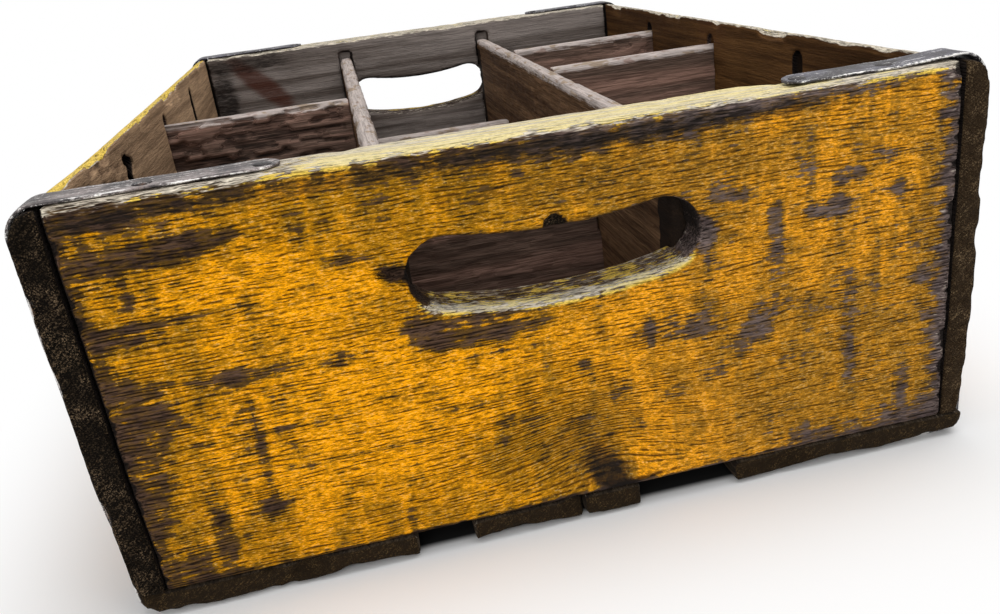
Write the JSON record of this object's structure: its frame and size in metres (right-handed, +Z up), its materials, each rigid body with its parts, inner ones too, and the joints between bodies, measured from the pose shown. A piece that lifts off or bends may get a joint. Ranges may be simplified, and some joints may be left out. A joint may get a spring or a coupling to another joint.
{
  "type": "wooden bottle crate",
  "caption": "Weathered painted wooden bottle crate with a half-lapped divider grid, curved hand holes in the end panels and bent steel corner straps.",
  "frame": {"origin": "under the middle of the crate, on the floor that its strap feet stand on", "axes": "+X across the end panels, +Y along the side panels towards the rear end, +Z up"},
  "size_m": [0.3152, 0.422, 0.1475],
  "materials": {
    "painted_wood": "worn yellow ochre paint over brown, grey-weathered wood",
    "bare_wood": "bare weathered wood, dark with age",
    "divider_wood": "bare sawn wood with pale worn edges",
    "strap_steel": "dark scuffed band steel",
    "nail_steel": "dull steel nails with light rust"
  },
  "bodies": {
    "root": {"bottom_slat_left": "bare_wood", "bottom_slat_middle_left": "bare_wood", "bottom_slat_middle_right": "bare_wood", "bottom_slat_right": "bare_wood", "corner_strap_front_left": "strap_steel", "corner_strap_front_right": "strap_steel", "corner_strap_rear_left": "strap_steel", "corner_strap_rear_right": "strap_steel", "cross_divider_front": "divider_wood", "cross_divider_middle": "divider_wood", "cross_divider_rear": "divider_wood", "end_panel_front": "painted_wood", "end_panel_rear": "painted_wood", "long_divider_left": "divider_wood", "long_divider_right": "divider_wood", "side_edge_nail_left_front": "nail_steel", "side_edge_nail_left_rear": "nail_steel", "side_edge_nail_right_front": "nail_steel", "side_edge_nail_right_rear": "nail_steel", "side_panel_left": "painted_wood", "side_panel_right": "painted_wood", "slat_nail_front_1": "nail_steel", "slat_nail_front_2": "nail_steel", "slat_nail_front_3": "nail_steel", "slat_nail_front_4": "nail_steel", "slat_nail_front_5": "nail_steel", "slat_nail_front_6": "nail_steel", "slat_nail_front_7": "nail_steel", "slat_nail_rear_1": "nail_steel", "slat_nail_rear_2": "nail_steel", "slat_nail_rear_3": "nail_steel", "slat_nail_rear_4": "nail_steel", "slat_nail_rear_5": "nail_steel", "slat_nail_rear_6": "nail_steel", "slat_nail_rear_7": "nail_steel", "strap_foot_nail_front_left": "nail_steel", "strap_foot_nail_front_right": "nail_steel", "strap_foot_nail_rear_left": "nail_steel", "strap_foot_nail_rear_right": "nail_steel", "strap_side_nail_front_left_1": "nail_steel", "strap_side_nail_front_left_2": "nail_steel", "strap_side_nail_front_left_3": "nail_steel", "strap_side_nail_front_right_1": "nail_steel", "strap_side_nail_front_right_2": "nail_steel", "strap_side_nail_front_right_3": "nail_steel", "strap_side_nail_rear_left_1": "nail_steel", "strap_side_nail_rear_left_2": "nail_steel", "strap_side_nail_rear_left_3": "nail_steel", "strap_side_nail_rear_right_1": "nail_steel", "strap_side_nail_rear_right_2": "nail_steel", "strap_side_nail_rear_right_3": "nail_steel", "strap_top_nail_front_left_1": "nail_steel", "strap_top_nail_front_left_2": "nail_steel", "strap_top_nail_front_right_1": "nail_steel", "strap_top_nail_front_right_2": "nail_steel", "strap_top_nail_rear_left_1": "nail_steel", "strap_top_nail_rear_left_2": "nail_steel", "strap_top_nail_rear_right_1": "nail_steel", "strap_top_nail_rear_right_2": "nail_steel"}
  },
  "joints": []
}
